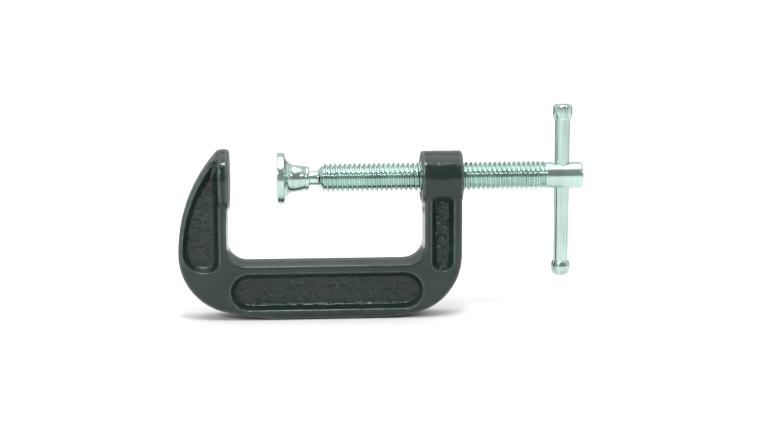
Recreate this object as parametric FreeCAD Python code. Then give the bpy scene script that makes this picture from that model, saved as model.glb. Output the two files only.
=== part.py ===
import FreeCAD, Part
import math
import os

# C clamp: an iron frame, a screw that turns in the frame's boss, a swivel pad on the screw's
# ball, and a sliding handle bar through the screw's head.
#
# Millimetres. The origin is the centre of the fixed jaw's face, on the screw's axis.
# +X runs along the screw from the fixed jaw to the handle, +Z is up, away from the spine,
# and Y is the frame's width. Everything is drawn with the clamp part open.

# ---- driving dimensions -------------------------------------------------------------------

# frame, seen from the side
throat_width = 62.4          # fixed jaw's face to boss's inner face
throat_depth = 27.25         # screw axis to the spine's inner face
spine_height = 18.45         # spine's inner face to the sole it stands on
frame_width = 13.2           # overall width of the I section
draft = 0.3                  # how far the sides draw in from the parting line to each face
edge_r = 1.0                 # rounding of the casting's outer edges
throat_r = 6.0               # inside corners of the throat

# jaw arm
jaw_arm_reach = 17.0         # furthest point of the arm behind the jaw's face
jaw_arm_top = 3.8            # where the arm's back meets its top, behind the jaw's face
jaw_arm_set_back = 0.6       # inner face of the arm, behind the jaw's face
jaw_toe = 7.0                # taper from the jaw down to that face, or to the throat's corner
jaw_r = 10.0                 # round jaw
jaw_t = 3.0                  # thickness of the jaw's disc
jaw_shoulder = 3.2           # length of the cone behind the disc
jaw_shoulder_sink = 0.8      # how far the cone's small end is sunk in the arm
jaw_edge_r = 0.5
jaw_step = 0.25              # the disc's face stands this far in front of the arm
jaw_lip = 0.3                # and its rim this far above the arm's rounded top

# screw arm and boss
screw_arm_set_back = 0.65    # inner face of the arm, outside the boss's inner face
screw_arm_t = 12.95
boss_length = 13.6
boss_wall = 3.94             # metal round the thread's major diameter
boss_edge_r = 0.7

# outer corners and sole
jaw_corner_r = 19.8
jaw_corner_rise = 21.6       # height of the corner arc's centre above the sole
screw_corner_r = 19.9
screw_corner_rise = 20.5
sole_r = 80.0                # long arcs that run the corners into the flat sole

# pockets of the I section
pocket_depth = 2.8
pocket_run = 1.9             # how far a pocket's wall leans in from mouth to floor
pocket_floor_r = 0.8
pocket_end_play = 0.01       # keeps a pocket's round ends from using up its whole height
flange_back = 1.7            # flange along the jaw arm's outer curve
flange_jaw = 3.4             # flange along the jaw arm's inner face, from the jaw's face
flange_spine_top = 3.1
flange_sole = 3.1
flange_screw_in = 2.6
flange_screw_out = 3.15
leaf_foot = 2.6              # jaw arm pocket's lower end, below the spine's inner face
leaf_tip_r = 1.2
leaf_tip_floor_r = 0.5
leaf_front_r = 3.4
leaf_back_r = 6.5
spine_pocket_start = 0.0     # spine pocket's ends, from the jaw's face and the boss's face
spine_pocket_over = 0.5
arm_pocket_foot = 3.1        # screw arm pocket's lower end, below the spine's inner face
arm_pocket_r = 3.0

# thread, 3/8-16 unified
thread_d = 9.525
thread_pitch = 1.5875
thread_crest = thread_pitch / 8
thread_depth = 0.6134 * thread_pitch
thread_slope = math.tan(math.radians(30))
nut_bite = 0.79              # how far the boss's thread reaches inside the major diameter
thread_play = 0.10           # gap between the flanks, square to them
crest_play = 0.12            # gap over the screw's crests
sink_margin = 0.1            # how far the boss's countersinks clear the thread's groove
thread_sink = 0.15           # how deep the ridge is rooted in the core
envelope_play = 0.3          # gap between the crests and the shape that trims the ends

# screw
rest_opening = 15.7          # fixed jaw's face to the pad's face, as drawn
thread_start = 13.4          # from the pad's face to the end of the thread's rounded nose
thread_length = 74.4
nose_length = 2.9
nose_r = 2.75
nose_middle = (0.36, 0.66)   # its arc's middle, as shares of the nose's length and rise
neck_r = 2.3
ball_r = 3.1
ball_height = 6.2            # ball's centre above the pad's face
head_length = 12.1
head_drop = 0.41             # plain head's radius under the thread's crests
head_edge_r = 0.8
runout = 0.9                 # length in which the thread's groove fades into the head

# swivel pad
pad_r = 8.4
pad_rim = 2.3                # thickness of the flat rim
pad_length = 10.4
pad_edge = 0.35
pad_flare = 3.6              # length of the hollow curve from the rim up to the socket
socket_wall = 1.2            # metal round the socket where the flare ends
socket_taper = 0.55          # how much slimmer the socket is at its mouth
socket_play = 0.12           # gap round the ball
neck_play = 0.32             # gap between the crimped lip and the neck

# handle
bar_d = 4.76
bar_up = 23.45               # ends of the handle above and below the screw's axis, as drawn
bar_down = 33.25
hole_play = 0.28             # gap round the bar in the head's cross hole
hole_mouth = 0.75            # how far the cross hole's mouth is opened out
hole_from_thread = 5.5       # cross hole's axis from the end of the thread
cap_wall = 0.745             # metal round the bar inside the cap
cap_length = 5.2
cap_cone = 2.0
cap_top_r = 0.9
cap_cover = 1.4              # metal over the end of the bar inside the cap
press = 0.02                 # interference of the cap on the bar
upset_spread = 0.745         # how far the upset head stands out from the bar
upset_length = 4.8
upset_lip = 0.2
upset_shoulder = 1.8
upset_foot = 0.5             # its flat end's radius, as a share of its largest
upset_middle = (0.22, 0.8)   # its lower arc's middle, as shares of its height and radius

# ---- sizes that follow --------------------------------------------------------------------

half_width = frame_width / 2
sole_z = -(throat_depth + spine_height)
jaw_corner_z = sole_z + jaw_corner_rise
screw_corner_z = sole_z + screw_corner_rise
screw_arm_x = throat_width + screw_arm_set_back
boss_r = thread_d / 2 + boss_wall
boss_end = throat_width + boss_length

# The jaw arm's back is one arc: upright at its corner's height, and through the arm's top.
back_dx = jaw_arm_reach - jaw_arm_top
back_dz = jaw_r - jaw_lip - jaw_corner_z
back_r = (back_dx ** 2 + back_dz ** 2) / (2 * back_dx)
back_x = back_r - jaw_arm_reach

core_r = thread_d / 2 - thread_depth
thread_x = rest_opening + thread_start
thread_end = thread_x + thread_length
head_r = thread_d / 2 - head_drop
head_end = thread_end + head_length
ball_x = rest_opening + ball_height
hole_x = thread_end + hole_from_thread
bar_r = bar_d / 2
hole_r = bar_r + hole_play
cap_r = bar_r + cap_wall
upset_r = bar_r + upset_spread
socket_r = ball_r + socket_play

HALF_RIGHT = math.sqrt(0.5)  # cosine and sine of 45 degrees

X_AXIS = FreeCAD.Vector(1, 0, 0)
Y_AXIS = FreeCAD.Vector(0, 1, 0)
Z_AXIS = FreeCAD.Vector(0, 0, 1)


# ---- drawing helpers ----------------------------------------------------------------------

def at(x, z, y=0.0):
    return FreeCAD.Vector(x, y, z)


def line(a, b):
    return Part.LineSegment(a, b).toShape()


def arc(centre, radius, start, end, y=0.0):
    """Arc in a side view, from one angle to another in degrees; 0 is +X and 90 is +Z."""
    points = []
    for degrees in (start, (start + end) / 2, end):
        turn = math.radians(degrees)
        x = centre[0] + radius * math.cos(turn)
        z = centre[1] + radius * math.sin(turn)
        points.append(at(x, z, y))
    return Part.Arc(*points).toShape()


def angle_to(centre, point):
    return math.degrees(math.atan2(point[1] - centre[1], point[0] - centre[0]))


def closed_wire(pieces):
    """Wire through arcs and lines, with a straight line wherever two pieces don't meet."""
    edges = []
    for piece, following in zip(pieces, pieces[1:] + pieces[:1]):
        edges.append(piece)
        end = piece.Vertexes[-1].Point
        start = following.Vertexes[0].Point
        if end.distanceToPoint(start) > 1e-6:
            edges.append(line(end, start))
    return Part.Wire(edges)


def turned(edges):
    """Solid of revolution about X from the upper half of a section."""
    face = Part.Face(Part.Wire(edges))
    return face.revolve(at(0, 0), X_AXIS, 360)


def section(points):
    """Closed straight-sided section, given as (x, radius) pairs."""
    corners = [at(x, r) for x, r in points]
    return Part.makePolygon(corners + corners[:1]).Edges


def edges_where(shape, test):
    return [edge for edge in shape.Edges if test(edge)]


def spans(edge, axis, low, high):
    box = edge.BoundBox
    smallest = getattr(box, axis + "Min")
    largest = getattr(box, axis + "Max")
    return smallest > low and largest < high


# ---- frame --------------------------------------------------------------------------------

def corner_pair(centre, radius, outward, y):
    """Corner arc and the long arc that meets the flat sole; outward is -1 or 1."""
    rise = sole_z + sole_r - centre[1]
    shift = math.sqrt((sole_r - radius) ** 2 - rise ** 2)
    long_centre = (centre[0] - outward * shift, sole_z + sole_r)
    join = angle_to(long_centre, centre)
    side = -180.0 if outward < 0 else 0.0
    corner = arc(centre, radius, side, join, y)
    long_arc = arc(long_centre, sole_r, join, -90.0, y)
    return corner, long_arc


def flipped(edge):
    """The same edge, drawn the other way."""
    curve = edge.Curve.copy()
    middle = (edge.FirstParameter + edge.LastParameter) / 2
    first = edge.valueAt(edge.LastParameter)
    last = edge.valueAt(edge.FirstParameter)
    return Part.Arc(first, curve.value(middle), last).toShape()


def frame_outline(inset, y):
    """Side outline of the casting at a width y, drawn in by inset all round but the sole."""
    top = jaw_r
    radius = back_r - inset
    back_centre = (back_x, jaw_corner_z)
    back_top = back_x - math.sqrt(radius ** 2 - (top - jaw_corner_z) ** 2)
    back = arc(back_centre, radius, angle_to(back_centre, (back_top, top)), 180.0, y)
    jaw_centre = (-jaw_arm_reach + jaw_corner_r, jaw_corner_z)
    jaw_corner, jaw_sole = corner_pair(jaw_centre, jaw_corner_r - inset, -1, y)
    outer_x = screw_arm_x + screw_arm_t
    screw_centre = (outer_x - screw_corner_r, screw_corner_z)
    screw_corner, screw_sole = corner_pair(screw_centre, screw_corner_r - inset, 1, y)
    arm_top = line(at(outer_x - inset, 0, y), at(screw_arm_x + inset, 0, y))
    fillet_z = -throat_depth + throat_r
    right = arc((screw_arm_x - throat_r, fillet_z), throat_r + inset, 0.0, -90.0, y)
    left = arc((-jaw_arm_set_back + throat_r, fillet_z), throat_r + inset, -90.0, -180.0, y)
    front = -jaw_step - inset
    toe_z = max(-jaw_r - jaw_toe, fillet_z)
    toe = line(at(-jaw_arm_set_back - inset, toe_z, y), at(front, -jaw_r + jaw_t, y))
    lip = line(at(front, 0, y), at(front, top, y))
    return closed_wire([back, jaw_corner, jaw_sole, flipped(screw_sole), flipped(screw_corner),
                        arm_top, right, left, toe, lip])


def casting_blank():
    outlines = [frame_outline(draft, -half_width), frame_outline(0.0, 0.0),
                frame_outline(draft, half_width)]
    blank = Part.makeLoft(outlines, True, True)
    outer = edges_where(blank, lambda e: spans(e, "Y", half_width - 0.01, half_width + 0.01)
                        or spans(e, "Y", -half_width - 0.01, -half_width + 0.01))
    return blank.makeFillet(edge_r, outer)


def jaw_top_waste():
    """What is left over above the jaw arm once its top is rounded behind the jaw's disc."""
    length = jaw_arm_reach + 2 * jaw_t
    start = at(-jaw_arm_reach - jaw_t, 0)
    block = Part.makeBox(length, 4 * jaw_r, 2 * jaw_r, start - 2 * jaw_r * Y_AXIS)
    rod = Part.makeCylinder(jaw_r - jaw_lip, length, start, X_AXIS)
    return block.cut(rod)


def jaw():
    foot = jaw_t + jaw_shoulder
    foot_r = half_width - jaw_shoulder_sink
    disc = turned(section([(0, 0), (0, jaw_r), (-jaw_t, jaw_r), (-foot, foot_r), (-foot, 0)]))
    rim = edges_where(disc, lambda e: spans(e, "X", -0.01, 0.01))
    return disc.makeFillet(jaw_edge_r, rim)


def leaf_outline(inset, tip_r, y):
    """Pocket of the jaw arm: upright in front, round below, and following the arm's back."""
    centre = (back_x, jaw_corner_z)
    radius = back_r - flange_back - inset
    front = -flange_jaw - inset
    foot = -throat_depth - leaf_foot + inset
    front_r = leaf_front_r - inset
    heel_r = leaf_back_r - inset
    tip_x = front - tip_r
    tip_z = jaw_corner_z + math.sqrt((radius - tip_r) ** 2 - (tip_x - back_x) ** 2)
    heel_z = foot + heel_r
    heel_x = back_x - math.sqrt((radius - heel_r) ** 2 - (heel_z - jaw_corner_z) ** 2)
    tip_turn = angle_to(centre, (tip_x, tip_z))
    heel_turn = angle_to(centre, (heel_x, heel_z)) % 360
    return closed_wire([
        arc((tip_x, tip_z), tip_r, 0.0, tip_turn, y),
        arc(centre, radius, tip_turn, heel_turn, y),
        arc((heel_x, heel_z), heel_r, heel_turn, 270.0, y),
        arc((front - front_r, foot + front_r), front_r, -90.0, 0.0, y),
    ])


def slot_outline(x0, x1, z0, z1, radii, y):
    """Rounded rectangle; radii are for its left end and its right end."""
    left, right = radii
    return closed_wire([
        arc((x1 - right, z1 - right), right, 0.0, 90.0, y),
        arc((x0 + left, z1 - left), left, 90.0, 180.0, y),
        arc((x0 + left, z0 + left), left, 180.0, 270.0, y),
        arc((x1 - right, z0 + right), right, -90.0, 0.0, y),
    ])


def spine_pocket(inset, y):
    top = -throat_depth - flange_spine_top - inset
    foot = sole_z + flange_sole + inset
    end_r = (top - foot) / 2 - pocket_end_play
    start = spine_pocket_start + inset
    end = throat_width + spine_pocket_over - inset
    return slot_outline(start, end, foot, top, (end_r, end_r), y)


def arm_pocket(inset, y):
    start = screw_arm_x + flange_screw_in + inset
    end = screw_arm_x + screw_arm_t - flange_screw_out - inset
    foot = -throat_depth - arm_pocket_foot + inset
    radius = min(arm_pocket_r, (end - start) / 2 - pocket_end_play)
    return slot_outline(start, end, foot, arm_pocket_r, (radius, radius), y)


def pocket(outline, side):
    """Cutter with leaning walls and a rounded floor edge, carried on outside the casting."""
    mouth_y = side * half_width
    floor_y = side * (half_width - pocket_depth)
    taper = Part.makeLoft([outline(pocket_run, floor_y), outline(0.0, mouth_y)], True, True)
    floor = edges_where(taper, lambda e: spans(e, "Y", floor_y - 0.01, floor_y + 0.01))
    taper = taper.makeFillet(pocket_floor_r, floor)
    outside = Part.Face(outline(0.0, mouth_y)).extrude(FreeCAD.Vector(0, side * jaw_r, 0))
    return taper.fuse(outside)


def leaf_pocket(inset, y):
    tip_r = leaf_tip_floor_r if inset else leaf_tip_r
    return leaf_outline(inset, tip_r, y)


def boss():
    barrel = Part.makeCylinder(boss_r, boss_length, at(throat_width, 0), X_AXIS)
    rims = edges_where(barrel, lambda e: e.Closed)
    return barrel.makeFillet(boss_edge_r, rims)


def boss_bore():
    """Threaded hole through the boss, countersunk at both ends."""
    run = 2 * thread_pitch
    bore_r = thread_d / 2 - nut_bite
    sink_r = thread_d / 2 + crest_play + sink_margin
    bore = Part.makeCylinder(bore_r, boss_length + 2 * run, at(throat_width - run, 0), X_AXIS)
    sink = sink_r - bore_r
    inner = Part.makeCone(sink_r + run, bore_r, sink + run, at(throat_width - run, 0), X_AXIS)
    outer = Part.makeCone(bore_r, sink_r + run, sink + run, at(boss_end - sink, 0), X_AXIS)
    crest = thread_crest / 2 + thread_play / math.cos(math.radians(30)) - crest_play * thread_slope
    groove = helical_ridge(crest, thread_d / 2 + crest_play, bore_r - thread_sink,
                           throat_width - run, boss_length + 2 * run)
    return bore.fuse([inner, outer, groove])


def frame():
    casting = casting_blank().cut(jaw_top_waste())
    casting = casting.fuse(jaw())
    for side in (-1, 1):
        for outline in (leaf_pocket, spine_pocket, arm_pocket):
            casting = casting.cut(pocket(outline, side))
    casting = casting.fuse(boss())
    return casting.cut(boss_bore())


# ---- thread -------------------------------------------------------------------------------

def helical_ridge(half_crest, crest_r, root_r, start, length):
    """Right-handed ridge about X. Its phase is set by the drawn thread, so that a screw and
    a nut made with it are always in mesh."""
    before = math.ceil((start - thread_x) / thread_pitch) * thread_pitch + thread_x
    turns = math.floor((start + length - before) / thread_pitch)
    half_root = half_crest + (crest_r - root_r) * thread_slope
    helix = Part.makeHelix(thread_pitch, turns * thread_pitch, root_r)
    profile = [(-half_root, root_r), (-half_crest, crest_r), (half_crest, crest_r),
               (half_root, root_r)]
    corners = [FreeCAD.Vector(r, 0, u) for u, r in profile]
    sweep = Part.BRepOffsetAPI.MakePipeShell(helix)
    sweep.setFrenetMode(True)
    sweep.add(Part.makePolygon(corners + corners[:1]))
    sweep.build()
    sweep.makeSolid()
    ridge = sweep.shape()
    ridge.rotate(at(0, 0), Y_AXIS, 90)
    ridge.translate(at(before, 0))
    return ridge


# ---- screw --------------------------------------------------------------------------------

def thread_envelope():
    """Rounds the thread's nose and chamfers its end; it clears the crests in between."""
    clear_r = thread_d / 2 + envelope_play
    chamfer = clear_r - head_r
    along, rise = nose_middle
    middle = at(thread_x + along * nose_length, nose_r + rise * (clear_r - nose_r))
    nose_end = at(thread_x + nose_length, clear_r)
    nose = Part.Arc(at(thread_x, nose_r), middle, nose_end).toShape()
    sides = [nose_end, at(thread_end - chamfer, clear_r), at(thread_end, head_r),
             at(thread_end, 0), at(thread_x, 0), at(thread_x, nose_r)]
    return turned([nose] + [line(a, b) for a, b in zip(sides, sides[1:])])


def screw():
    run = 2 * thread_pitch
    core = Part.makeCylinder(core_r, thread_length + 4 * run, at(thread_x - 2 * run, 0), X_AXIS)
    ridge = helical_ridge(thread_crest / 2, thread_d / 2, core_r - thread_sink,
                          thread_x - run, thread_length + 2 * run)
    threaded = core.fuse(ridge).common(thread_envelope())
    head = Part.makeCylinder(head_r, head_length, at(thread_end, 0), X_AXIS)
    rim = edges_where(head, lambda e: spans(e, "X", head_end - 0.01, head_end + 0.01))
    head = head.makeFillet(head_edge_r, rim)
    fade = Part.makeCone(core_r, head_r, runout, at(thread_end - runout, 0), X_AXIS)
    neck = Part.makeCylinder(neck_r, thread_x - ball_x, at(ball_x, 0), X_AXIS)
    ball = Part.makeSphere(ball_r, at(ball_x, 0))
    blank = threaded.fuse([fade, head, neck, ball])
    return blank.cut(cross_hole())


def cross_hole():
    reach = 2 * head_r
    hole = Part.makeCylinder(hole_r, 2 * reach, at(hole_x, -reach), Z_AXIS)
    flare = reach - head_r + hole_mouth
    upper = Part.makeCone(hole_r, hole_r + flare, flare, at(hole_x, head_r - hole_mouth), Z_AXIS)
    lower = Part.makeCone(hole_r, hole_r + flare, flare, at(hole_x, -head_r + hole_mouth), -Z_AXIS)
    return hole.fuse([upper, lower])


# ---- swivel pad ---------------------------------------------------------------------------

def swivel_pad():
    """Round pad whose socket closes over the screw's ball."""
    face = rest_opening
    socket_out = socket_r + socket_wall
    rim = face + pad_rim
    flare_end = rim + pad_flare
    lip_r = neck_r + neck_play
    lip_end = face + pad_length
    mouth_out = socket_out - socket_taper
    lip_top = (lip_r + mouth_out) / 2
    shoulder = lip_end - (mouth_out - lip_r) / 2
    corners = [at(face, 0), at(face, pad_r - pad_edge), at(face + pad_edge, pad_r),
               at(rim - pad_edge, pad_r), at(rim, pad_r - pad_edge)]
    flare_rise = pad_r - pad_edge - socket_out
    flare_mid = at(flare_end - HALF_RIGHT * pad_flare, pad_r - pad_edge - HALF_RIGHT * flare_rise)
    crimp = HALF_RIGHT * (mouth_out - lip_r) / 2
    edges = [line(a, b) for a, b in zip(corners, corners[1:])]
    edges.append(Part.Arc(corners[-1], flare_mid, at(flare_end, socket_out)).toShape())
    edges.append(line(at(flare_end, socket_out), at(shoulder, mouth_out)))
    edges.append(Part.Arc(at(shoulder, mouth_out), at(shoulder + crimp, lip_top + crimp),
                          at(lip_end, lip_top)).toShape())
    edges.append(line(at(lip_end, lip_top), at(lip_end, 0)))
    edges.append(line(at(lip_end, 0), at(face, 0)))
    body = turned(edges)
    seat = Part.makeSphere(socket_r, at(ball_x, 0))
    mouth = Part.makeCylinder(lip_r, pad_length, at(ball_x, 0), X_AXIS)
    return body.cut(seat.fuse(mouth))


# ---- handle -------------------------------------------------------------------------------

def upright(shape):
    """Turns something drawn along X so that it stands on the cross hole's axis."""
    shape.rotate(at(0, 0), Y_AXIS, -90)
    shape.translate(at(hole_x, 0))
    return shape


def handle_bar():
    """Rod with its lower end upset into a small round head."""
    foot = -bar_down
    neck = foot + upset_length
    belly = neck - upset_shoulder
    sides = [at(bar_up - cap_cover, 0), at(bar_up - cap_cover, bar_r), at(neck, bar_r),
             at(neck, bar_r + upset_lip), at(belly, upset_r)]
    foot_r = upset_foot * upset_r
    along, rise = upset_middle
    middle = at(foot + along * (belly - foot), rise * upset_r)
    edges = [line(a, b) for a, b in zip(sides, sides[1:])]
    edges.append(Part.Arc(at(belly, upset_r), middle, at(foot, foot_r)).toShape())
    edges.append(line(at(foot, foot_r), at(foot, 0)))
    edges.append(line(at(foot, 0), sides[0]))
    return upright(turned(edges))


def handle_cap():
    """Cap pressed on the bar's upper end once the bar is through the screw."""
    top = bar_up
    foot = top - cap_length
    shoulder = foot + cap_cone
    bend = HALF_RIGHT * cap_top_r
    edge_x = top - cap_top_r
    flat_r = cap_r - cap_top_r
    edges = [
        line(at(foot, 0), at(foot, bar_r + upset_lip)),
        line(at(foot, bar_r + upset_lip), at(shoulder, cap_r)),
        line(at(shoulder, cap_r), at(edge_x, cap_r)),
        Part.Arc(at(edge_x, cap_r), at(edge_x + bend, flat_r + bend), at(top, flat_r)).toShape(),
        line(at(top, flat_r), at(top, 0)),
        line(at(top, 0), at(foot, 0)),
    ]
    cap = turned(edges)
    bore = Part.makeCylinder(bar_r - press, cap_length - cap_cover, at(foot, 0), X_AXIS)
    return upright(cap.cut(bore))


# ---- output -------------------------------------------------------------------------------

def main():
    os.makedirs("parts", exist_ok=True)
    pieces = {
        "frame": frame,
        "screw": screw,
        "swivel_pad": swivel_pad,
        "handle_bar": handle_bar,
        "handle_cap": handle_cap,
    }
    for name, make in pieces.items():
        solid = make().removeSplitter()
        print(name, "valid" if solid.isValid() else "INVALID", len(solid.Solids), "solid",
              round(solid.Volume, 1), "mm3")
        solid.exportStep("parts/" + name + ".step")


main()
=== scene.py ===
import math

import bmesh
import bpy
import numpy as np
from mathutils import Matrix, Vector, noise


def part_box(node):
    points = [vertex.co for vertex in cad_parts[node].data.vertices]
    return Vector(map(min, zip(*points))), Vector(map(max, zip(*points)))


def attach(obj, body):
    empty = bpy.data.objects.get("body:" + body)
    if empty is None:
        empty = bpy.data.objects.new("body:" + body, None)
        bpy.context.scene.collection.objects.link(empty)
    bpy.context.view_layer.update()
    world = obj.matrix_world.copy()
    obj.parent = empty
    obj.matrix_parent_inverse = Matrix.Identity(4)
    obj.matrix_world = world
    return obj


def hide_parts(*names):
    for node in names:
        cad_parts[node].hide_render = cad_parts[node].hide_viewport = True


# A C clamp's looks: an enamelled iron casting, a zinc-plated screw with a swivel pad, and a
# sliding handle bar. Lengths named in millimetres are turned into metres with MM.

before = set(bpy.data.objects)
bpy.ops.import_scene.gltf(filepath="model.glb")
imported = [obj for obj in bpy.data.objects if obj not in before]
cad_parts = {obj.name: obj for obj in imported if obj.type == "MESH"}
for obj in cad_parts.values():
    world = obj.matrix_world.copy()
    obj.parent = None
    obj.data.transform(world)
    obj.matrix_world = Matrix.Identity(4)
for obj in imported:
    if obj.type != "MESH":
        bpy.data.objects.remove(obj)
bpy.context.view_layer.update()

MM = 0.001

# ---- sizes ----------------------------------------------------------------------------------

clamp_middle = Vector((40.0, 0.0, -10.0)) * MM

frame_low, frame_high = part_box("frame")
screw_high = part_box("screw")[1]
pad_low, pad_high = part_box("swivel_pad")
bar_low, bar_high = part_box("handle_bar")
cap_low, cap_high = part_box("handle_cap")

# casting
half_width = 6.6 * MM
voxel = 0.36 * MM
boss_start = 62.4 * MM
boss_length = 13.6 * MM
bore_r = 4.97 * MM
lump_depth = 0.07 * MM
pimple_depth = 0.025 * MM
floor_depth = 0.15 * MM
sag_depth = 0.05 * MM
pocket_start = 1.9 * MM      # below the casting's side faces, where a pocket's floor begins
pocket_fade = 0.8 * MM
arm_grit = 2.4               # the screw arm's pocket is this much rougher than the others
seam_height = 0.05 * MM
seam_half = 0.35 * MM

# noise on the casting's skin: the size of the lumps, and a seed
lump_noise = (5.5 * MM, 3.1)
pimple_noise = (1.5 * MM, 7.7)
sag_noise = (2.4 * MM, 9.1)
coarse_grit = (1.6 * MM, 11.3)
fine_grit = (0.62 * MM, 5.9)

# thread
pitch = 1.5875 * MM
crest_r = 9.525 / 2 * MM
thread_depth = 0.6134 * pitch
crest_half = pitch / 16
flank = math.tan(math.radians(30))
thread_start = pad_low.x + 13.4 * MM
thread_length = 74.4 * MM
thread_end = thread_start + thread_length
nose_length = 2.7 * MM
nose_r = 2.75 * MM
flank_play = 0.1155 * MM
crest_play = 0.12 * MM
nut_r = crest_r - 0.79 * MM
run_out = 0.9 * MM           # where the thread fades into the plain head
nut_end = 0.15 * MM          # the boss's thread stops this far inside its faces
nut_countersink = 1.1 * MM

# screw's plain parts
head_r = crest_r - 0.41 * MM
neck_r = 2.3 * MM
ball_r = 3.1 * MM
ball_x = pad_low.x + 6.2 * MM
hole_x = (bar_low.x + bar_high.x) / 2
bar_r = 2.38 * MM
hole_r = bar_r + 0.28 * MM
hole_mouth = 0.75 * MM
head_edge = 0.9 * MM

# pad
rim_length = 2.3 * MM
flare_length = 3.6 * MM
socket_play = 0.12 * MM
socket_wall = 1.2 * MM
socket_taper = 0.55 * MM
lip_play = 0.32 * MM
lip_groove = 1.3 * MM        # from the pad's open end to the mark that the crimping tool leaves

# handle
upset_length = 4.8 * MM
upset_belly = 3.0 * MM       # height of the upset head's widest place
cap_bore_depth = 3.8 * MM
cap_cone = 2.0 * MM
cap_press = 0.02 * MM


# ---- node trees -----------------------------------------------------------------------------

class Tree:
    """Adds nodes to a tree and joins them. An input is a number, a colour or another output."""

    def __init__(self, tree):
        self.tree = tree

    def node(self, kind, inputs=None, **settings):
        node = self.tree.nodes.new(kind)
        for name, value in settings.items():
            setattr(node, name, value)
        for name, value in (inputs or {}).items():
            if isinstance(value, bpy.types.NodeSocket):
                self.tree.links.new(value, node.inputs[name])
            else:
                node.inputs[name].default_value = value
        return node

    def calc(self, operation, first, second=0.0, third=0.0, clamp=False):
        inputs = {0: first, 1: second, 2: third}
        return self.node("ShaderNodeMath", inputs, operation=operation, use_clamp=clamp).outputs[0]

    def ramp(self, value, start, end, low=0.0, high=1.0, soft=False):
        kind = "SMOOTHSTEP" if soft else "LINEAR"
        inputs = {"Value": value, "From Min": start, "From Max": end, "To Min": low, "To Max": high}
        return self.node("ShaderNodeMapRange", inputs, interpolation_type=kind).outputs[0]

    def blend(self, share, first, second):
        node = self.node("ShaderNodeMix", {0: share}, data_type="RGBA")
        for socket, value in ((node.inputs[6], first), (node.inputs[7], second)):
            if isinstance(value, bpy.types.NodeSocket):
                self.tree.links.new(value, socket)
            else:
                socket.default_value = value
        return node.outputs[2]

    def grain(self, place, scale, detail=2.0, roughness=0.5):
        inputs = {"Vector": place, "Scale": scale, "Detail": detail, "Roughness": roughness}
        return self.node("ShaderNodeTexNoise", inputs).outputs[0]


def new_group(name, kind, inputs, outputs):
    """Empty node group with named inputs and outputs."""
    tree = bpy.data.node_groups.new(name, kind)
    for title, socket, value in inputs:
        made = tree.interface.new_socket(title, in_out="INPUT", socket_type=socket)
        if value is not None:
            made.default_value = value
    for title, socket in outputs:
        tree.interface.new_socket(title, in_out="OUTPUT", socket_type=socket)
    start = tree.nodes.new("NodeGroupInput")
    end = tree.nodes.new("NodeGroupOutput")
    return Tree(tree), start.outputs, end.inputs


def rgb(red, green, blue):
    return (red, green, blue, 1.0)


# ---- shared surface effects -----------------------------------------------------------------

def worn_edges():
    """Mask of the places where edges are rubbed, broken up by a grain."""
    tree, given, result = new_group(
        "Worn edges", "ShaderNodeTree",
        [("Amount", "NodeSocketFloat", 0.5), ("Patch scale", "NodeSocketFloat", 300.0)],
        [("Mask", "NodeSocketFloat")])
    place = tree.node("ShaderNodeTexCoord").outputs["Object"]
    edge = tree.node("ShaderNodeAttribute", attribute_name="edge").outputs["Fac"]
    patches = tree.grain(place, given["Patch scale"], 3.0, 0.6)
    torn = tree.ramp(patches, 0.42, 0.66)
    rubbed = tree.calc("MULTIPLY", edge, torn)
    tree.tree.links.new(tree.calc("MULTIPLY", rubbed, given["Amount"], clamp=True), result["Mask"])
    return tree.tree


def grime_and_painted_shade_in_hollows():
    """Mask of the hollows where polish, oil and dust gather, also used to paint shade into them."""
    tree, given, result = new_group(
        "Grime and painted shade", "ShaderNodeTree",
        [("Amount", "NodeSocketFloat", 0.5), ("Patch scale", "NodeSocketFloat", 200.0)],
        [("Mask", "NodeSocketFloat")])
    place = tree.node("ShaderNodeTexCoord").outputs["Object"]
    hollow = tree.node("ShaderNodeAttribute", attribute_name="hollow").outputs["Fac"]
    patches = tree.ramp(tree.grain(place, given["Patch scale"], 4.0, 0.6), 0.3, 0.7, 0.35, 1.0)
    gathered = tree.calc("MULTIPLY", hollow, patches)
    tree.tree.links.new(tree.calc("MULTIPLY", gathered, given["Amount"], clamp=True), result["Mask"])
    return tree.tree


def mottle():
    """Slow and quick variation over a surface, each from 0 to 1."""
    tree, given, result = new_group(
        "Mottle", "ShaderNodeTree",
        [("Slow scale", "NodeSocketFloat", 60.0), ("Quick scale", "NodeSocketFloat", 900.0)],
        [("Slow", "NodeSocketFloat"), ("Quick", "NodeSocketFloat")])
    place = tree.node("ShaderNodeTexCoord").outputs["Object"]
    slow = tree.ramp(tree.grain(place, given["Slow scale"], 3.0), 0.3, 0.7)
    quick = tree.ramp(tree.grain(place, given["Quick scale"], 2.0), 0.3, 0.7)
    tree.tree.links.new(slow, result["Slow"])
    tree.tree.links.new(quick, result["Quick"])
    return tree.tree


# ---- materials ------------------------------------------------------------------------------

def new_material(name):
    material = bpy.data.materials.new(name)
    material.use_nodes = True
    tree = Tree(material.node_tree)
    shader = material.node_tree.nodes["Principled BSDF"]
    place = tree.node("ShaderNodeTexCoord").outputs["Object"]
    return material, tree, shader, place


def effect(tree, group, **inputs):
    node = tree.node("ShaderNodeGroup")
    node.node_tree = group
    for name, value in inputs.items():
        node.inputs[name.replace("_", " ").capitalize()].default_value = value
    return node.outputs


def wire(tree, pairs):
    for output, socket in pairs:
        tree.tree.links.new(output, socket)


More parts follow.
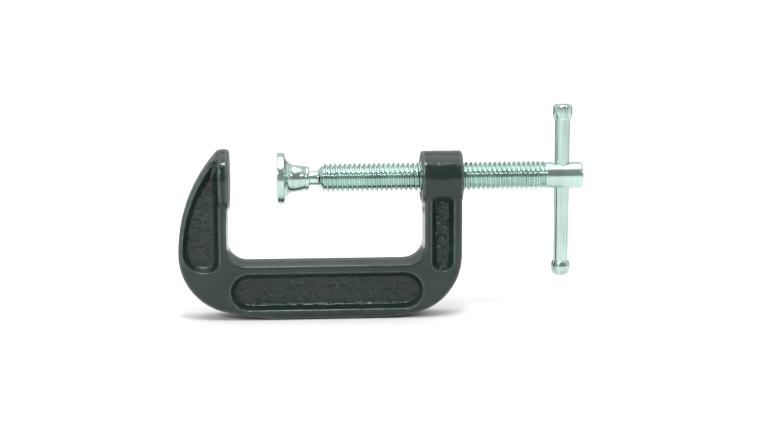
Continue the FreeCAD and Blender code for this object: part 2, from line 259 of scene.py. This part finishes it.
def enamel(groups):
    """Gloss grey-green enamel over rough iron: thick in the hollows, with painted shade there, and
    thinner on the edges, with a painted highlight there.
    """
    material, tree, shader, place = new_material("gloss enamel")
    cloud = effect(tree, groups["mottle"], slow_scale=110.0, quick_scale=1400.0)
    rubbed = effect(tree, groups["edges"], amount=0.55, patch_scale=420.0)["Mask"]
    grime_and_painted_shade = effect(tree, groups["grime_and_painted_shade"], amount=0.55, patch_scale=240.0)["Mask"]
    tone = tree.blend(cloud["Slow"], rgb(0.010, 0.021, 0.014), rgb(0.017, 0.033, 0.024))
    # Convex edges go lighter: partly thinner enamel, partly a painted highlight.
    thinner_enamel_and_highlight = tree.node("ShaderNodeAttribute", attribute_name="edge").outputs["Fac"]
    tone = tree.blend(tree.calc("MULTIPLY", thinner_enamel_and_highlight, 0.7), tone, rgb(0.085, 0.125, 0.104))
    tone = tree.blend(rubbed, tone, rgb(0.11, 0.15, 0.125))
    # Hollows go darker: partly settled polish, oil and dust, partly painted shade.
    tone = tree.blend(grime_and_painted_shade, tone, rgb(0.009, 0.013, 0.011))
    gloss = tree.ramp(cloud["Slow"], 0.0, 1.0, 0.09, 0.17)
    gloss = tree.calc("ADD", gloss, tree.calc("MULTIPLY", rubbed, 0.25))
    gloss = tree.calc("ADD", gloss, tree.calc("MULTIPLY", grime_and_painted_shade, 0.2))
    pocket = tree.node("ShaderNodeAttribute", attribute_name="pocket").outputs["Fac"]
    peel = tree.ramp(tree.grain(place, 560.0, 3.0, 0.6), 0.34, 0.66, soft=True)
    peel = tree.calc("MULTIPLY", peel, tree.ramp(pocket, 0.0, 1.0, 0.10, 2.0))
    swell = tree.grain(place, 170.0, 1.0, 0.4)
    height = tree.calc("ADD", peel, swell)
    bump = tree.node("ShaderNodeBump", {"Height": height, "Strength": 0.6, "Distance": 0.00035})
    shader.inputs["Specular IOR Level"].default_value = 0.42
    wire(tree, [(tone, shader.inputs["Base Color"]), (gloss, shader.inputs["Roughness"]),
                (bump.outputs[0], shader.inputs["Normal"])])
    return material


def zinc(groups, name, lines_along, stripe_and_streak_strength, tint):
    """Bright zinc plate with a faint green cast. Stripe_and_streak_strength is how deep and dark
    the fine stripes from the lathe or the dies are; the dark stripes are partly painted reflection
    streaks."""
    material, tree, shader, place = new_material(name)
    cloud = effect(tree, groups["mottle"], slow_scale=160.0, quick_scale=2600.0)
    rubbed = effect(tree, groups["edges"], amount=0.5, patch_scale=700.0)["Mask"]
    grime_and_painted_shade = effect(tree, groups["grime_and_painted_shade"], amount=0.85, patch_scale=300.0)["Mask"]
    bright = [channel * 1.2 for channel in tint]
    tone = tree.blend(cloud["Slow"], rgb(*tint), rgb(*bright))
    tone = tree.blend(tree.calc("MULTIPLY", cloud["Quick"], 0.10), tone, rgb(0.30, 0.41, 0.37))
    tone = tree.blend(rubbed, tone, rgb(0.86, 0.97, 0.91))
    # Hollows go darker and less metallic: partly settled polish, oil and dust, partly painted shade.
    tone = tree.blend(grime_and_painted_shade, tone, rgb(0.10, 0.15, 0.12))
    # Dark stripes along the tool's path: partly the fine stripes that the lathe and the dies leave,
    # partly painted reflection streaks.
    stretch = tree.node("ShaderNodeMapping", {"Vector": place, "Scale": lines_along})
    stripes_and_painted_streaks = tree.grain(stretch.outputs[0], 1.0, 3.0, 0.6)
    tone = tree.blend(tree.ramp(stripes_and_painted_streaks, 0.44, 0.64, 0.0, 0.5 * stripe_and_streak_strength), tone, rgb(0.20, 0.28, 0.25))
    gloss = tree.ramp(cloud["Slow"], 0.0, 1.0, 0.11, 0.20)
    gloss = tree.calc("ADD", gloss, tree.calc("MULTIPLY", stripes_and_painted_streaks, 0.08))
    gloss = tree.calc("ADD", gloss, tree.calc("MULTIPLY", grime_and_painted_shade, 0.2))
    metal = tree.calc("SUBTRACT", 1.0, tree.calc("MULTIPLY", grime_and_painted_shade, 0.5))
    height = tree.calc("ADD", stripes_and_painted_streaks, tree.calc("MULTIPLY", cloud["Quick"], 0.3))
    bump = tree.node("ShaderNodeBump", {"Height": height, "Strength": 0.12 * stripe_and_streak_strength,
                                        "Distance": 0.00010})
    wire(tree, [(tone, shader.inputs["Base Color"]), (gloss, shader.inputs["Roughness"]),
                (metal, shader.inputs["Metallic"]), (bump.outputs[0], shader.inputs["Normal"])])
    return material


def studio_white():
    material, tree, shader, place = new_material("studio floor")
    cloud = tree.ramp(tree.grain(place, 6.0, 3.0), 0.3, 0.7)
    wire(tree, [(tree.blend(cloud, rgb(0.90, 0.90, 0.90), rgb(0.93, 0.93, 0.93)),
                 shader.inputs["Base Color"])])
    shader.inputs["Roughness"].default_value = 0.7
    return material


# ---- mesh helpers ---------------------------------------------------------------------------

def object_from(name, mesh, material):
    mesh.materials.clear()
    mesh.materials.append(material)
    made = bpy.data.objects.new(name, mesh)
    bpy.context.scene.collection.objects.link(made)
    return made


def plain_mesh(made):
    """The object's evaluated mesh, with its modifiers used up."""
    graph = bpy.context.evaluated_depsgraph_get()
    mesh = bpy.data.meshes.new_from_object(made.evaluated_get(graph))
    old = made.data
    made.modifiers.clear()
    made.data = mesh
    bpy.data.meshes.remove(old)
    return made


def points_of(mesh):
    flat = np.zeros(len(mesh.vertices) * 3)
    mesh.vertices.foreach_get("co", flat)
    return flat.reshape(-1, 3)


def normals_of(mesh):
    flat = np.zeros(len(mesh.vertices) * 3)
    mesh.vertex_normals.foreach_get("vector", flat)
    return flat.reshape(-1, 3)


def links_of(mesh):
    flat = np.zeros(len(mesh.edges) * 2, int)
    mesh.edges.foreach_get("vertices", flat)
    return flat.reshape(-1, 2)


def neighbour_mean(values, links):
    """Mean of each point's neighbours."""
    total = np.zeros_like(values)
    count = np.zeros(len(values))
    for one, other in ((0, 1), (1, 0)):
        np.add.at(total, links[:, one], values[links[:, other]])
        np.add.at(count, links[:, one], 1)
    return total / np.maximum(count, 1).reshape((-1,) + (1,) * (values.ndim - 1))


def store(mesh, name, values):
    layer = mesh.attributes.new(name, "FLOAT", "POINT")
    layer.data.foreach_set("value", values.astype(np.float32))


def mark_bends(mesh, start, full, passes=2):
    """Attributes edge and hollow, from 0 to 1: how sharply the surface bends out or in, between
    two curvatures given per millimetre."""
    points = points_of(mesh)
    links = links_of(mesh)
    span = points[links[:, 0]] - points[links[:, 1]]
    square = (span ** 2).sum(1)
    size = np.zeros(len(points))
    count = np.zeros(len(points))
    for side in (0, 1):
        np.add.at(size, links[:, side], square)
        np.add.at(count, links[:, side], 1)
    offset = neighbour_mean(points, links) - points
    bend = -4 * (offset * normals_of(mesh)).sum(1) / (size / np.maximum(count, 1) + 1e-15) * MM
    for _ in range(passes):
        bend = 0.5 * bend + 0.5 * neighbour_mean(bend, links)
    store(mesh, "edge", np.clip((bend - start) / (full - start), 0, 1))
    store(mesh, "hollow", np.clip((-bend - start) / (full - start), 0, 1))


def clean(mesh, merge=1e-6):
    """Merges doubles and turns every face outwards."""
    shape = bmesh.new()
    shape.from_mesh(mesh)
    bmesh.ops.remove_doubles(shape, verts=shape.verts, dist=merge)
    bmesh.ops.recalc_face_normals(shape, faces=shape.faces)
    shape.to_mesh(mesh)
    shape.free()


def shade(mesh, angle=None):
    """Smooth shading, with edges sharper than an angle in degrees left crisp."""
    mesh.polygons.foreach_set("use_smooth", [True] * len(mesh.polygons))
    if angle is not None:
        mesh.set_sharp_from_angle(angle=math.radians(angle))
    mesh.update()


def softened(corners, steps=6):
    """Outline through (along, radius, rounding) corners, each rounded by the length given."""
    points = []
    for index, (along, radius, rounding) in enumerate(corners):
        here = Vector((along, radius))
        if rounding == 0 or index in (0, len(corners) - 1):
            points.append(here)
            continue
        before = (Vector(corners[index - 1][:2]) - here).normalized() * rounding + here
        after = (Vector(corners[index + 1][:2]) - here).normalized() * rounding + here
        for step in range(steps + 1):
            share = step / steps
            points.append(before.lerp(here, share).lerp(here.lerp(after, share), share))
    return points


def lathe(name, outline, upright_at=None, segments=120):
    """Closed turned shape from (along, radius) points that start and end on the axis. It lies
    along X, or stands along Z at the X that is given."""
    shape = bmesh.new()
    rings = []
    for along, radius in outline:
        ring = []
        for index in range(segments if radius > 1e-9 else 1):
            turn = 2 * math.pi * index / segments
            side = radius * math.cos(turn)
            rise = radius * math.sin(turn)
            place = (along, side, rise) if upright_at is None else (upright_at + side, rise, along)
            ring.append(shape.verts.new(place))
        rings.append(ring)
    for ring, following in zip(rings, rings[1:]):
        for index in range(segments):
            after = (index + 1) % segments
            corners = {ring[index % len(ring)]: 0, ring[after % len(ring)]: 0,
                       following[after % len(following)]: 0, following[index % len(following)]: 0}
            if len(corners) > 2:
                shape.faces.new(list(corners))
    bmesh.ops.recalc_face_normals(shape, faces=shape.faces)
    mesh = bpy.data.meshes.new(name)
    shape.to_mesh(mesh)
    shape.free()
    return mesh


def combine(made, other_mesh, operation):
    """Joins or cuts a closed mesh with another."""
    tool = object_from("tool", other_mesh, made.data.materials[0])
    modifier = made.modifiers.new(operation, "BOOLEAN")
    modifier.operation = operation
    modifier.object = tool
    modifier.solver = "MANIFOLD"
    plain_mesh(made)
    bpy.data.objects.remove(tool)
    return made


def rod(start, end, radius, segments=96):
    return lathe("rod", [(start, 0), (start, radius), (end, radius), (end, 0)], None, segments)


# ---- thread ---------------------------------------------------------------------------------

def thread_tree():
    """Right-handed thread about X, as a tube of rows that follow the helix. The radius is held
    under a nose and a chamfer on a screw, and over two countersinks in a nut."""
    sizes = ["Start", "Length", "Pitch", "Phase", "Crest radius", "Depth", "Crest half",
             "Start radius", "Start run", "End radius", "End run"]
    inputs = [(title, "NodeSocketFloat", 0.0) for title in sizes]
    inputs += [("Nut", "NodeSocketFloat", 0.0), ("Segments", "NodeSocketInt", 48),
               ("Rows", "NodeSocketInt", 100), ("Row step", "NodeSocketFloat", 0.0),
               ("Material", "NodeSocketMaterial", None)]
    tree, given, result = new_group("Rolled thread", "GeometryNodeTree", inputs,
                                    [("Geometry", "NodeSocketGeometry")])
    columns = tree.calc("ADD", given["Segments"], 1)
    grid = tree.node("GeometryNodeMeshGrid", {"Size X": 1.0, "Size Y": 1.0,
                                              "Vertices X": given["Rows"], "Vertices Y": columns})
    spot = tree.node("ShaderNodeSeparateXYZ", {0: tree.node("GeometryNodeInputPosition").outputs[0]})
    turn = tree.calc("ADD", spot.outputs["Y"], 0.5)
    row = tree.calc("MULTIPLY", tree.calc("ADD", spot.outputs["X"], 0.5),
                    tree.calc("SUBTRACT", given["Rows"], 1))
    along = tree.calc("MULTIPLY", row, given["Row step"])
    along = tree.calc("ADD", along, tree.calc("MULTIPLY", turn, given["Pitch"]))
    along = tree.calc("ADD", along, tree.calc("SUBTRACT", given["Start"], given["Pitch"]))
    end = tree.calc("ADD", given["Start"], given["Length"])
    along = tree.calc("MINIMUM", tree.calc("MAXIMUM", along, given["Start"]), end)
    wound = tree.calc("DIVIDE", tree.calc("SUBTRACT", along, given["Phase"]), given["Pitch"])
    share = tree.calc("FRACT", tree.calc("SUBTRACT", tree.calc("ADD", wound, 1000.0), turn))
    apart = tree.calc("SUBTRACT", 0.5, tree.calc("ABSOLUTE", tree.calc("SUBTRACT", share, 0.5)))
    apart = tree.calc("MULTIPLY", apart, given["Pitch"])
    foot = tree.calc("MULTIPLY_ADD", given["Depth"], flank, given["Crest half"])
    radius = tree.ramp(apart, given["Crest half"], foot, given["Crest radius"],
                       tree.calc("SUBTRACT", given["Crest radius"], given["Depth"]))
    from_start = tree.calc("SUBTRACT", along, given["Start"])
    from_end = tree.calc("SUBTRACT", end, along)
    limits = []
    for distance, run, rim in ((from_start, given["Start run"], given["Start radius"]),
                               (from_end, given["End run"], given["End radius"])):
        part = tree.calc("SINE", tree.calc("MULTIPLY", tree.ramp(distance, 0.0, run), math.pi / 2))
        top = tree.calc("ADD", given["Crest radius"], 0.00002)
        base = tree.calc("SUBTRACT", tree.calc("SUBTRACT", given["Crest radius"], given["Depth"]),
                         0.00002)
        far = tree.calc("ADD", tree.calc("MULTIPLY", base, given["Nut"]),
                        tree.calc("MULTIPLY", top, tree.calc("SUBTRACT", 1.0, given["Nut"])))
        limits.append(tree.calc("ADD", rim, tree.calc("MULTIPLY", part,
                                                      tree.calc("SUBTRACT", far, rim))))
    held = tree.calc("MINIMUM", tree.calc("MINIMUM", radius, limits[0]), limits[1])
    opened = tree.calc("MAXIMUM", tree.calc("MAXIMUM", radius, limits[0]), limits[1])
    radius = tree.calc("ADD", tree.calc("MULTIPLY", opened, given["Nut"]),
                       tree.calc("MULTIPLY", held, tree.calc("SUBTRACT", 1.0, given["Nut"])))
    angle = tree.calc("MULTIPLY", turn, 2 * math.pi)
    place = tree.node("ShaderNodeCombineXYZ", {
        "X": along,
        "Y": tree.calc("MULTIPLY", radius, tree.calc("COSINE", angle)),
        "Z": tree.calc("MULTIPLY", radius, tree.calc("SINE", angle))})
    moved = tree.node("GeometryNodeSetPosition", {"Geometry": grid.outputs["Mesh"],
                                                  "Position": place.outputs[0]})
    merged = tree.node("GeometryNodeMergeByDistance", {"Geometry": moved.outputs[0],
                                                       "Distance": 1e-6})
    real = tree.node("GeometryNodeRealizeInstances", {"Geometry": merged.outputs[0]})
    faced = tree.node("GeometryNodeSetMaterial", {"Geometry": real.outputs[0],
                                                  "Material": given["Material"]})
    tree.tree.links.new(faced.outputs[0], result["Geometry"])
    return tree.tree


def thread(name, tree, material, segments=56, steps=12, **sizes):
    """Mesh of one thread made by the tree; sizes are the tree's inputs by name."""
    made = object_from(name, bpy.data.meshes.new(name), material)
    modifier = made.modifiers.new("thread", "NODES")
    modifier.node_group = tree
    sizes["Pitch"] = pitch
    sizes["Phase"] = thread_start + pitch / 4
    sizes["Segments"] = segments
    sizes["Row step"] = pitch / steps
    sizes["Rows"] = math.ceil((sizes["Length"] + 2 * pitch) / sizes["Row step"]) + 1
    sizes["Material"] = material
    for item in tree.interface.items_tree:
        if item.in_out == "INPUT":
            modifier[item.identifier] = sizes.get(item.name, 0.0)
    plain_mesh(made)
    mesh = made.data
    bpy.data.objects.remove(made)
    return mesh


def close_ends(mesh, bridge=False):
    """Closes a tube's two open ends with a cap each, or joins them with a plain outer wall."""
    shape = bmesh.new()
    shape.from_mesh(mesh)
    bmesh.ops.dissolve_degenerate(shape, edges=shape.edges, dist=1e-7)
    rim = [edge for edge in shape.edges if edge.is_boundary]
    if bridge:
        bmesh.ops.bridge_loops(shape, edges=rim)
    else:
        caps = bmesh.ops.holes_fill(shape, edges=rim, sides=0)["faces"]
        bmesh.ops.poke(shape, faces=caps)
    bmesh.ops.recalc_face_normals(shape, faces=shape.faces)
    shape.to_mesh(mesh)
    shape.free()
    return mesh


# ---- casting --------------------------------------------------------------------------------

def rough(point, size, seed):
    """Smooth noise about 0, with lumps of a size given in metres."""
    return noise.noise(Vector(point) / size + Vector((seed, 2.3 * seed, -seed)))


def cast_skin(mesh):
    """Lumps, sagging enamel, floors left rough by the sand, and the seam where the mould's halves
    met. The jaw's face and the sole stay flat."""
    points = points_of(mesh)
    links = links_of(mesh)
    for _ in range(4):
        points = 0.45 * points + 0.55 * neighbour_mean(points, links)
    mesh.vertices.foreach_set("co", points.ravel())
    mesh.update()
    normals = normals_of(mesh)
    depth = np.abs(points[:, 1])
    facing = np.abs(normals[:, 1])
    pocket = np.clip((half_width - pocket_start - depth) / pocket_fade, 0, 1)
    pocket *= np.clip(facing * 3 - 1.6, 0, 1)
    seam = np.exp(-(points[:, 1] / seam_half) ** 2) * np.clip(1 - 2 * facing, 0, 1)
    flat = (normals[:, 0] > 0.97) & (points[:, 0] > -0.2 * MM) & (points[:, 0] < 0.2 * MM)
    flat |= (normals[:, 2] < -0.97) & (points[:, 2] < frame_low.z + 0.2 * MM)
    sink = np.zeros(len(points))
    on_arm = points[:, 0] > boss_start - 2 * MM
    grit_gain = np.where(on_arm, arm_grit, 1.0)
    for index, point in enumerate(points):
        lump = 0.5 + 0.5 * rough(point, *lump_noise)
        pimple = 0.5 + 0.5 * rough(point, *pimple_noise)
        sink[index] = lump_depth * lump + pimple_depth * pimple
        if on_arm[index]:
            sink[index] += sag_depth * (0.5 + 0.5 * rough(point, *sag_noise))
        if pocket[index] > 0:
            grit = 0.8 * rough(point, *coarse_grit) + 0.7 * rough(point, *fine_grit)
            sink[index] += grit_gain[index] * pocket[index] * floor_depth * grit
    sink += seam_height * (1 - seam)
    sink[flat] = 0
    points -= normals * sink[:, None]
    low = np.array(frame_low)
    high = np.array(frame_high)
    points = np.clip(points, low, high)
    mesh.vertices.foreach_set("co", points.ravel())
    mesh.update()
    store(mesh, "pocket", np.clip(pocket * grit_gain / arm_grit, 0, 1))


def cast_frame(material):
    """The casting, remade as an even skin so that it can carry the sand's texture."""
    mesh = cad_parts["frame"].data.copy()
    clean(mesh)
    made = object_from("cast_frame", mesh, material)
    remesh = made.modifiers.new("skin", "REMESH")
    remesh.mode = "VOXEL"
    remesh.voxel_size = voxel
    plain_mesh(made)
    cast_skin(made.data)
    combine(made, rod(boss_start - 2 * MM, boss_start + boss_length + 2 * MM, bore_r), "DIFFERENCE")
    mark_bends(made.data, 0.25, 1.1)
    shade(made.data, 50)
    made.data.materials.clear()
    made.data.materials.append(material)
    return made


# ---- screw ----------------------------------------------------------------------------------

def neck_outline():
    """Neck and ball, from the ball's tip to inside the thread's nose."""
    points = []
    last = math.asin(neck_r / ball_r)
    for step in range(33):
        turn = math.pi + (last - math.pi) * step / 32
        points.append((ball_x + ball_r * math.cos(turn), ball_r * math.sin(turn)))
    points.append((thread_start - 0.5 * MM, neck_r))
    points.append((thread_start + 0.6 * MM, neck_r + 0.3 * MM))
    points.append((thread_start + 0.6 * MM, 0))
    points[0] = (ball_x - ball_r, 0)
    return points


def head_outline():
    fade = thread_end - run_out
    end = screw_high.x
    return softened([(fade, 0, 0), (fade, crest_r - thread_depth, 0), (thread_end, head_r, 0.15 * MM),
                     (end - 0.06 * MM, head_r, head_edge), (end, 0, 0)], 8)


def hole_cutter():
    reach = 2 * head_r
    flare = reach - head_r + hole_mouth
    outline = [(-reach, 0), (-reach, hole_r + flare), (-head_r + hole_mouth, hole_r),
               (head_r - hole_mouth, hole_r), (reach, hole_r + flare), (reach, 0)]
    return lathe("cross hole", outline, hole_x, 72)


def build_screw(tree, material):
    mesh = thread("clamp_screw", tree, material, segments=60, steps=14, **{
        "Start": thread_start, "Length": thread_length, "Crest radius": crest_r,
        "Depth": thread_depth, "Crest half": crest_half, "Start radius": nose_r,
        "Start run": nose_length, "End radius": crest_r - thread_depth, "End run": run_out})
    made = object_from("clamp_screw", close_ends(mesh), material)
    combine(made, lathe("neck", neck_outline(), None, 96), "UNION")
    combine(made, lathe("head", head_outline(), None, 120), "UNION")
    combine(made, hole_cutter(), "DIFFERENCE")
    mark_bends(made.data, 0.9, 4.0, 1)
    shade(made.data, 40)
    return made


def build_nut_thread(tree, material):
    """Thread cut in the boss, as a lining of its bore."""
    groove_r = crest_r + crest_play
    outer_r = bore_r + 0.02 * MM
    mesh = thread("boss_thread", tree, material, segments=60, steps=14, **{
        "Start": boss_start + nut_end, "Length": boss_length - 2 * nut_end,
        "Crest radius": groove_r, "Depth": groove_r - nut_r,
        "Crest half": crest_half + flank_play - crest_play * flank,
        "Start radius": outer_r, "Start run": nut_countersink,
        "End radius": outer_r, "End run": nut_countersink, "Nut": 1.0})
    made = object_from("boss_thread", close_ends(mesh, bridge=True), material)
    mark_bends(made.data, 0.9, 4.0, 1)
    shade(made.data, 40)
    return made


# ---- pad and handle -------------------------------------------------------------------------

def pad_outline():
    """Flat face, rim, hollow flare, socket, crimped lip, and the seat inside."""
    face = pad_low.x
    end = pad_high.x
    rim_r = pad_high.z
    rim = face + rim_length
    socket_r = ball_r + socket_play
    outside = socket_r + socket_wall
    mouth_r = outside - socket_taper
    lip_r = neck_r + lip_play
    points = [Vector((face, 0))]
    points += softened([(face, 0, 0), (face, rim_r, 0.35 * MM), (rim, rim_r, 0.4 * MM),
                        (rim + 0.1 * MM, rim_r - 1.2 * MM, 0)], 5)[1:-1]
    centre = Vector((rim + flare_length, rim_r - 0.5 * MM))
    along = flare_length - 0.05 * MM
    across = centre.y - outside
    for step in range(13):
        turn = math.radians(180 + 90 * step / 12)
        points.append(Vector((centre.x + along * math.cos(turn), centre.y + across * math.sin(turn))))
    groove = end - lip_groove
    points += [Vector((groove - 0.12 * MM, mouth_r + 0.08 * MM)), Vector((groove, mouth_r - 0.06 * MM)),
               Vector((groove + 0.12 * MM, mouth_r + 0.04 * MM))]
    middle = (mouth_r + lip_r) / 2
    crimp = (mouth_r - lip_r) / 2
    for step in range(9):
        turn = math.radians(90 - 180 * step / 8)
        points.append(Vector((end - crimp + crimp * math.cos(turn), middle + crimp * math.sin(turn))))
    first = math.asin(lip_r / socket_r)
    for step in range(17):
        turn = first + (math.pi - first) * step / 16
        points.append(Vector((ball_x + socket_r * math.cos(turn), socket_r * math.sin(turn))))
    points[-1] = Vector((ball_x - socket_r, 0))
    return points


def build_pad(material):
    made = object_from("pad", lathe("pad", pad_outline(), None, 144), material)
    mark_bends(made.data, 0.7, 3.0, 1)
    shade(made.data, 55)
    return made


def bar_outline():
    """Rod with its lower end upset into a head that keeps the die's sharp upper rim."""
    foot = bar_low.z
    neck = foot + upset_length
    belly = foot + upset_belly
    upset_r = (bar_high.x - bar_low.x) / 2
    bottom_r = 0.5 * upset_r
    points = [Vector((foot, 0)), Vector((foot, bottom_r))]
    for step in range(1, 10):
        turn = math.radians(90 * step / 10)
        points.append(Vector((foot + (belly - foot) * (1 - math.cos(turn)),
                              bottom_r + (upset_r - bottom_r) * math.sin(turn))))
    points += softened([(belly - 0.4 * MM, upset_r, 0),
                        (belly + 0.3 * MM, upset_r - 0.02 * MM, 0.25 * MM),
                        (neck - 0.1 * MM, bar_r + 0.35 * MM, 0.08 * MM),
                        (neck, bar_r + 0.02 * MM, 0.05 * MM),
                        (neck + 0.4 * MM, bar_r, 0)], 4)
    points += [Vector((bar_high.z, bar_r)), Vector((bar_high.z, 0))]
    return points


def build_bar(material):
    made = object_from("bar", lathe("bar", bar_outline(), hole_x, 96), material)
    mark_bends(made.data, 0.7, 3.0, 1)
    shade(made.data, 45)
    return made


def cap_outline():
    """Pressed cap: a cone up to a short cylinder, a rounded edge and a faintly domed top."""
    foot = cap_low.z
    top = cap_high.z
    cap_r = (cap_high.x - cap_low.x) / 2
    bore_top = foot + cap_bore_depth
    inner = bar_r - cap_press
    return softened([(bore_top, 0, 0), (bore_top, inner, 0), (foot + 0.15 * MM, inner, 0.1 * MM),
                     (foot, bar_r + 0.2 * MM, 0.1 * MM), (foot + cap_cone, cap_r, 0.5 * MM),
                     (top - 0.12 * MM, cap_r - 0.04 * MM, 1.1 * MM), (top, 0, 0)], 7)


def build_cap(material):
    made = object_from("cap", lathe("cap", cap_outline(), hole_x, 96), material)
    mark_bends(made.data, 0.7, 3.0, 1)
    shade(made.data, 45)
    return made


# ---- studio ---------------------------------------------------------------------------------

def backdrop(name, corners, material):
    """Flat four-cornered piece of the studio."""
    mesh = bpy.data.meshes.new(name)
    mesh.from_pydata(corners, [], [(0, 1, 2, 3)])
    made = object_from(name, mesh, material)
    return made


def floor(material):
    """Wide pale floor under the clamp's sole."""
    reach = 12.0
    corners = [(-reach, -reach), (reach, -reach), (reach, reach), (-reach, reach)]
    backdrop("floor", [(x, y, frame_low.z) for x, y in corners], material)


def soft_light(name, place, size, power):
    data = bpy.data.lights.new(name, "AREA")
    data.shape = "DISK"
    data.size = size
    data.energy = power
    light = bpy.data.objects.new(name, data)
    bpy.context.scene.collection.objects.link(light)
    light.location = place
    aim = clamp_middle - Vector(place)
    light.rotation_euler = aim.to_track_quat("-Z", "Y").to_euler()


def card(name, middle, width, height, level):
    """Upright grey card, facing the clamp, that shows only in what the gloss mirrors."""
    material, _, shader, _ = new_material(name)
    shader.inputs["Base Color"].default_value = rgb(0.0, 0.0, 0.0)
    shader.inputs["Specular IOR Level"].default_value = 0.0
    shader.inputs["Emission Color"].default_value = rgb(0.92, 1.0, 0.95)
    shader.inputs["Emission Strength"].default_value = level
    corners = [(-width, -height), (width, -height), (width, height), (-width, height)]
    made = backdrop(name, [(middle[0] + x / 2, middle[1], middle[2] + z / 2) for x, z in corners],
                    material)
    made.visible_camera = False
    made.visible_diffuse = False
    made.visible_shadow = False


def room():
    """Light tent: bright behind and at the sides, a brighter ceiling, and a dim front. Seen
    past the floor, it is plain white."""
    world = bpy.data.worlds.new("light tent")
    bpy.context.scene.world = world
    world.use_nodes = True
    tree = Tree(world.node_tree)
    way = tree.node("ShaderNodeTexCoord").outputs["Generated"]
    parts = tree.node("ShaderNodeSeparateXYZ", {0: way}).outputs
    front = tree.ramp(tree.calc("MULTIPLY", parts["Y"], -1.0), 0.10, 0.55, soft=True)
    ceiling = tree.ramp(parts["Z"], 0.80, 0.94, soft=True)
    level = tree.ramp(front, 0.0, 1.0, 0.92, 0.32)
    level = tree.calc("ADD", level, tree.calc("MULTIPLY", ceiling, 1.5))
    seen = tree.node("ShaderNodeLightPath").outputs["Is Camera Ray"]
    level = tree.calc("MAXIMUM", level, seen)
    wire(tree, [(level, world.node_tree.nodes["Background"].inputs["Strength"])])
    world.node_tree.nodes["Background"].inputs["Color"].default_value = rgb(1.0, 1.0, 1.0)
    soft_light("left window", (-0.45, -0.75, 0.55), 0.16, 2.6)
    soft_light("right window", (0.60, -0.50, 0.45), 0.10, 0.7)
    soft_light("top window", (0.02, -0.30, 0.72), 0.16, 1.6)
    card("back card", (0.04, 0.20, 0.0), 1.0, 0.12, 0.38)


def camera():
    data = bpy.data.cameras.new("camera")
    data.sensor_width = 36.0
    data.lens = 68.26
    data.shift_x = 0.02
    data.shift_y = -0.03
    data.clip_start = 0.01
    data.clip_end = 20.0
    made = bpy.data.objects.new("camera", data)
    bpy.context.scene.collection.objects.link(made)
    made.location = (21.4 * MM, -465.3 * MM, 67.4 * MM)
    made.rotation_euler = (math.radians(90 - 8.77), math.radians(0.31), math.radians(-2.85))
    bpy.context.scene.camera = made


# ---- putting it together --------------------------------------------------------------------

groups = {"edges": worn_edges(), "grime_and_painted_shade": grime_and_painted_shade_in_hollows(), "mottle": mottle()}
enamelled = enamel(groups)
plated = (0.46, 0.60, 0.55)
threaded = zinc(groups, "zinc plate rolled", (900.0, 60.0, 60.0), 0.25, plated)
turned = zinc(groups, "zinc plate turned", (4200.0, 70.0, 70.0), 1.0, plated)
drawn = zinc(groups, "zinc plate drawn", (1900.0, 1900.0, 35.0), 1.0, plated)
rolled_thread = thread_tree()

pieces = [
    (cast_frame(enamelled), "frame", "frame", "enamelled_casting"),
    (build_nut_thread(rolled_thread, threaded), "frame", None, "zinc_plated_steel"),
    (build_screw(rolled_thread, threaded), "screw", "screw", "zinc_plated_steel"),
    (build_pad(turned), "pad", "swivel_pad", "zinc_plated_steel"),
    (build_bar(drawn), "handle", "handle_bar", "zinc_plated_steel"),
    (build_cap(drawn), "handle", "handle_cap", "zinc_plated_steel"),
]
for piece, body, node, finish in pieces:
    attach(piece, body)
    if node:
        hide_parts(node)

floor(studio_white())
room()
camera()
bpy.context.scene.view_settings.view_transform = "Standard"
